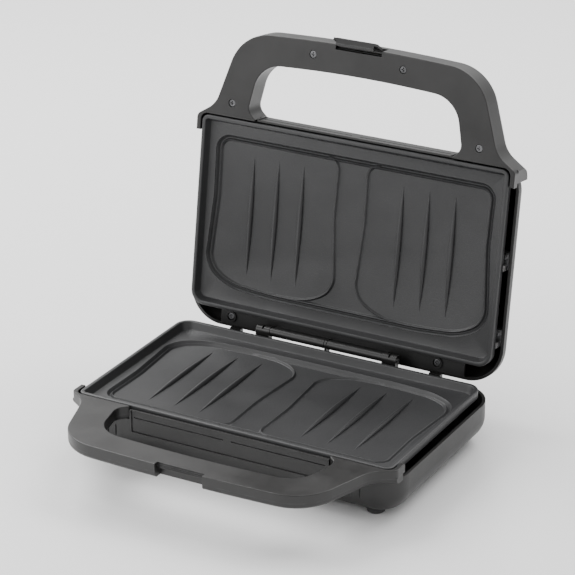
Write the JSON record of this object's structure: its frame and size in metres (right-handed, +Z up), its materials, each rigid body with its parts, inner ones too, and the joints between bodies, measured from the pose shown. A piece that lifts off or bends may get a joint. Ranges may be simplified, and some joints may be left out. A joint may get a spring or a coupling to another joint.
{
  "type": "panini press",
  "caption": "Compact two-slice panini press: hinged lid standing open, ribbed non-stick plates, arched carry handles and a front latch clip.",
  "frame": {"origin": "on the tabletop, under the middle of the cooking plates", "axes": "+X to the right along the hinge, +Y from the handle to the hinge at the back, +Z up"},
  "size_m": [0.286, 0.3123, 0.2966],
  "materials": {
    "housing_black": "satin moulded, fine texture",
    "handle_black": "satin moulded, smooth",
    "cover_black": "satin moulded, fine texture",
    "hinge_black": "satin moulded",
    "nonstick": "cast, dark grey non-stick coating, matt and finely speckled",
    "screw_steel": "blackened steel, worn bright at the recess",
    "pin_steel": "drawn steel",
    "heater_sheath": "heat-tinted tube",
    "reflector_sheet": "aluminised sheet",
    "bracket_sheet": "zinc-plated sheet",
    "foot_rubber": "soft matt rubber",
    "clip_black": "satin moulded, ribbed",
    "gland_black": "satin moulded",
    "ceramic_white": "glazed ceramic",
    "thermostat_body": "pressed metal cup",
    "fuse_metal": "plated capsule under a strap",
    "lead_sleeve": "glass-fibre sleeve",
    "lens_red": "clear red, moulded",
    "lens_green": "clear green, moulded",
    "lamp_glass": "clear",
    "holder_black": "moulded"
  },
  "bodies": {
    "base": {"lower_housing": "housing_black", "lower_handle": "handle_black", "lower_handle_cover": "cover_black", "lower_plate": "nonstick", "lower_heating_element": "heater_sheath", "lower_reflector": "reflector_sheet", "rubber_feet": "foot_rubber", "plate_screws": "screw_steel", "handle_cover_screws": "screw_steel", "hinge_knuckles": "hinge_black", "knuckle_screws": "screw_steel", "cord_gland": "gland_black", "terminal_block": "ceramic_white", "thermostat": "thermostat_body", "base_leads": "lead_sleeve", "hinge_pin": "pin_steel"},
    "lid": {"upper_housing": "housing_black", "upper_handle_face": "handle_black", "upper_handle_shell": "cover_black", "upper_plate": "nonstick", "upper_heating_element": "heater_sheath", "upper_reflector": "reflector_sheet", "handle_face_screws": "screw_steel", "strip_screws": "screw_steel", "bracket_screws": "screw_steel", "lid_hinge_strip": "hinge_black", "latch_pin": "pin_steel", "thermal_fuse": "fuse_metal", "lid_leads": "lead_sleeve", "plate_brackets": "bracket_sheet", "lamp_holder": "holder_black", "indicator_lamps": "lamp_glass", "power_lens": "lens_red", "ready_lens": "lens_green"},
    "latch": {"latch_clip": "clip_black"}
  },
  "joints": [
    {"name": "lid_hinge", "type": "hinge", "parent": "base", "child": "lid", "pos_m": [0, 0.09, 0.0465], "axis": [1, 0, 0], "range_deg": [0, 99]},
    {"name": "latch_pivot", "type": "hinge", "parent": "lid", "child": "latch", "pos_m": [0, 0.13363, 0.28683], "axis": [1, 0, 0], "range_deg": [-20, 27]}
  ]
}
